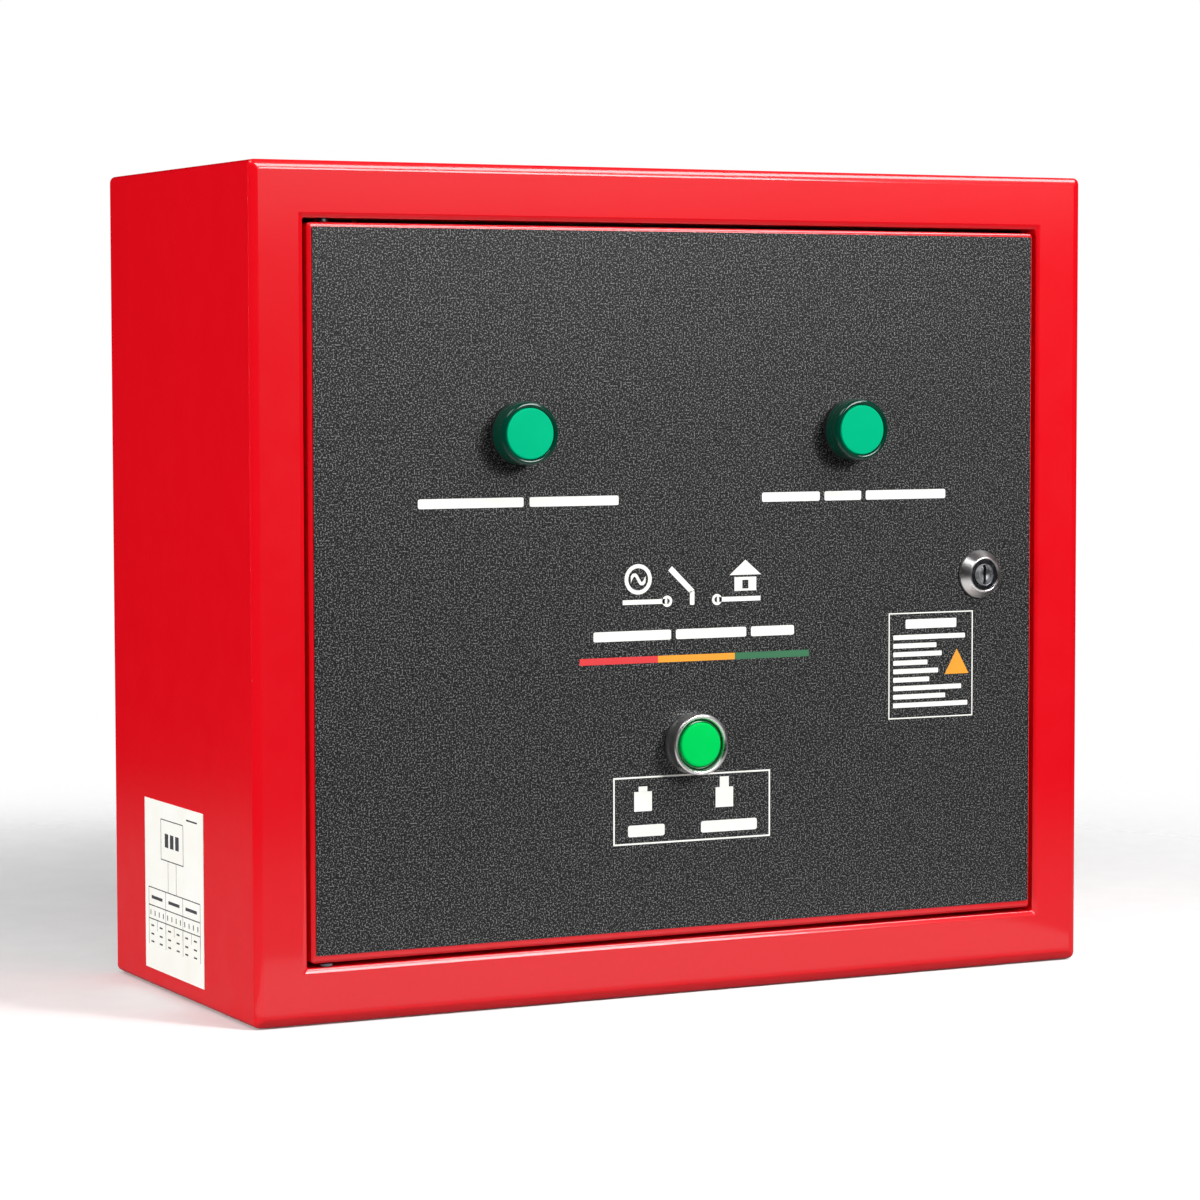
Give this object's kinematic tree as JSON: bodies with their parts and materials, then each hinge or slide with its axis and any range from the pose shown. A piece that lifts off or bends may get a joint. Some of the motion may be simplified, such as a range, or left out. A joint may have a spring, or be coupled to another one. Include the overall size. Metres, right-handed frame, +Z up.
{
  "type": "generator transfer switch",
  "caption": "Wall-mounted red sheet-steel transfer switch box with a framed hinged door, charcoal front film, green pilot lamps, illuminated latching push button and cam lock.",
  "frame": {"origin": "centre of the rear (wall) face of the enclosure", "axes": "+X is to the right seen from the front, +Y points back into the wall, +Z is up; the door and its devices face -Y"},
  "size_m": [0.4303, 0.192, 0.38],
  "materials": {
    "red_paint": "gloss powder coat, fine orange peel",
    "overlay_film": "fine-grained charcoal film",
    "galvanised_steel": "galvanised, spangled",
    "zinc_plate": "bright zinc plate",
    "chrome": "polished chrome",
    "brass": "bare brass",
    "green_lens": "clear emerald plastic",
    "green_cap": "bright green plastic",
    "black_plastic": "satin black plastic",
    "grey_plastic": "satin mid grey plastic",
    "cream_plastic": "satin light grey plastic",
    "toggle_plastic": "blue plastic",
    "rubber": "black rubber",
    "foam": "closed-cell foam",
    "label_paper": "cream printed vinyl",
    "cable_sheath": "PVC insulation"
  },
  "bodies": {
    "root": {"control_breaker": "cream_plastic", "control_loom": "cable_sheath", "control_module": "cream_plastic", "din_rail_lower": "zinc_plate", "din_rail_upper": "zinc_plate", "door_loom": "cable_sheath", "door_seal": "foam", "earth_stud": "brass", "enclosure_body": "red_paint", "generator_contactor_body": "grey_plastic", "gland_plate": "galvanised_steel", "gland_plate_nut_left": "zinc_plate", "gland_plate_nut_right": "zinc_plate", "grommet_generator": "rubber", "grommet_house": "rubber", "grommet_output": "rubber", "hinge_pin_lower": "zinc_plate", "hinge_pin_upper": "zinc_plate", "house_contactor_body": "grey_plastic", "interlock_block": "black_plastic", "loom_generator": "cable_sheath", "loom_house": "cable_sheath", "loom_output": "cable_sheath", "mounting_plate": "galvanised_steel", "plate_nut_1": "zinc_plate", "plate_nut_2": "zinc_plate", "plate_nut_3": "zinc_plate", "plate_nut_4": "zinc_plate", "plate_standoff_1": "zinc_plate", "plate_standoff_2": "zinc_plate", "plate_standoff_3": "zinc_plate", "plate_standoff_4": "zinc_plate", "rear_panel": "red_paint", "terminal_generator": "cream_plastic", "terminal_house": "cream_plastic", "terminal_output": "cream_plastic", "wiring_diagram_label": "label_paper"},
    "door": {"door_panel": "red_paint", "door_overlay": "overlay_film", "lamp_left_lens": "green_lens", "lamp_left_body": "black_plastic", "lamp_left_nut": "black_plastic", "lamp_right_lens": "green_lens", "lamp_right_body": "black_plastic", "lamp_right_nut": "black_plastic", "button_bezel": "chrome", "button_housing": "black_plastic", "button_nut": "black_plastic", "button_contact_block": "black_plastic", "button_spring": "zinc_plate", "lock_housing": "chrome", "lock_nut": "zinc_plate", "door_harness": "cable_sheath"},
    "button": {"button_cap": "green_cap"},
    "lock": {"lock_plug": "chrome", "lock_cam": "zinc_plate", "lock_cam_screw": "zinc_plate"},
    "house_armature": {"house_contactor_armature": "black_plastic"},
    "generator_armature": {"generator_contactor_armature": "black_plastic"},
    "toggle": {"control_breaker_toggle": "toggle_plastic"}
  },
  "joints": [
    {"name": "door_hinge", "type": "hinge", "parent": "root", "child": "door", "pos_m": [-0.18, -0.1755, 0], "axis": [0, 0, -1], "range_deg": [0, 115], "deforming": ["door_loom"]},
    {"name": "button_press", "type": "slide", "parent": "door", "child": "button", "axis": [0, 1, 0], "range_m": [0, 0.0043], "stiffness_N_per_m": 800, "deforming": ["button_spring"]},
    {"name": "lock_turn", "type": "hinge", "parent": "door", "child": "lock", "pos_m": [0.158, -0.18, 0], "axis": [0, -1, 0], "range_deg": [0, 90]},
    {"name": "house_contactor_travel", "type": "slide", "parent": "root", "child": "house_armature", "axis": [0, 1, 0], "range_m": [0, 0.004], "stiffness_N_per_m": 600},
    {"name": "generator_contactor_travel", "type": "slide", "parent": "root", "child": "generator_armature", "axis": [0, 1, 0], "range_m": [0, 0.004], "stiffness_N_per_m": 600},
    {"name": "control_breaker_switch", "type": "hinge", "parent": "root", "child": "toggle", "pos_m": [0.1, -0.0745, 0.075], "axis": [1, 0, 0], "range_deg": [0, 76]}
  ]
}
